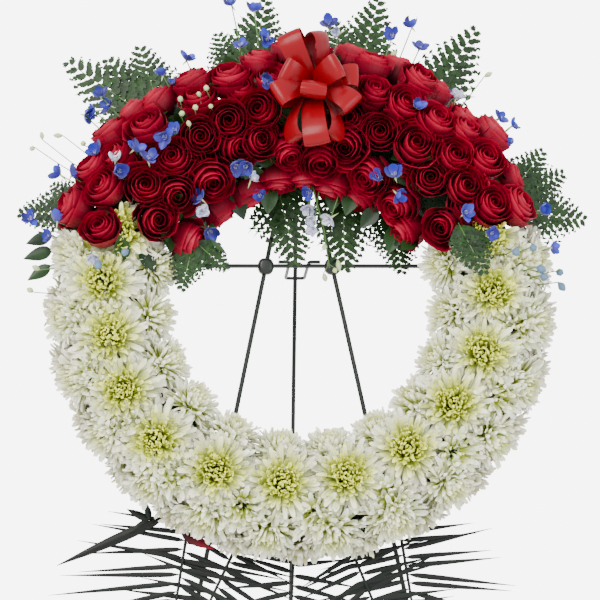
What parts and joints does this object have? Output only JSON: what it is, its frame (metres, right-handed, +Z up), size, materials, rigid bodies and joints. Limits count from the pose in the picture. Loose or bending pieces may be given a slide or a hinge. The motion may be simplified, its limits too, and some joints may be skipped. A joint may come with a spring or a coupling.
{
  "type": "funeral wreath on easel",
  "caption": "Round standing funeral wreath of white mums with red roses, a ribbon bow, fern and palm, hung on a folding wire easel.",
  "frame": {"origin": "middle of the footprint box on the floor", "axes": "+Z up, the flowers face -Y, +X to the right of someone facing the wreath"},
  "size_m": [0.8242, 0.6588, 1.5644],
  "materials": {
    "chrysanthemum": "creamy white petals, lime green hearts on the face heads",
    "rose": "velvety deep crimson petals",
    "fern": "leathery mid green",
    "palm": "very dark green, slightly glossy",
    "ribbon": "glossy satin acetate ribbon",
    "floral_foam": "wet open-cell phenolic foam",
    "tray_plastic": "moulded green polypropylene",
    "foot_rubber": "matte",
    "pin_steel": "zinc plated",
    "enamelled_wire": "dark green semi-gloss enamel"
  },
  "bodies": {
    "wreath_and_frame": {"backing_tray": "tray_plastic", "bow": "ribbon", "crossbar": "enamelled_wire", "face_mum_01": "chrysanthemum", "face_mum_02": "chrysanthemum", "face_mum_03": "chrysanthemum", "face_mum_04": "chrysanthemum", "face_mum_05": "chrysanthemum", "face_mum_06": "chrysanthemum", "face_mum_07": "chrysanthemum", "face_mum_08": "chrysanthemum", "face_mum_09": "chrysanthemum", "face_mum_10": "chrysanthemum", "face_mum_11": "chrysanthemum", "face_mum_12": "chrysanthemum", "face_mum_13": "chrysanthemum", "fern_inner_left": "fern", "fern_inner_middle": "fern", "fern_inner_right": "fern", "fern_left": "fern", "fern_right": "fern", "fern_top": "fern", "fern_top_left": "fern", "fern_top_right": "fern", "fern_upper_right": "fern", "foam_ring": "floral_foam", "front_left_foot": "foot_rubber", "front_left_leg": "enamelled_wire", "front_right_foot": "foot_rubber", "front_right_leg": "enamelled_wire", "head_bracket": "enamelled_wire", "hinge_pin": "pin_steel", "inner_mums": "chrysanthemum", "left_leg_clip": "enamelled_wire", "leg_stop_loop": "enamelled_wire", "outer_back_mums": "chrysanthemum", "outer_front_mums": "chrysanthemum", "palm_bottom": "palm", "palm_left": "palm", "palm_lower_left": "palm", "palm_lower_right": "palm", "palm_right": "palm", "right_leg_clip": "enamelled_wire", "roses_01": "rose", "roses_02": "rose", "roses_03": "rose", "roses_04": "rose", "roses_05": "rose", "roses_06": "rose", "roses_07": "rose", "roses_08": "rose", "roses_09": "rose", "roses_10": "rose", "roses_11": "rose", "roses_12": "rose", "roses_13": "rose", "roses_14": "rose"},
    "rear_leg": {"back_leg": "enamelled_wire", "back_foot": "foot_rubber"}
  },
  "joints": [
    {"name": "back_leg_hinge", "type": "hinge", "parent": "wreath_and_frame", "child": "rear_leg", "pos_m": [-0.00798, -0.06643, 1.35699], "axis": [1, 0, 0], "range_deg": [-25, 0]}
  ]
}
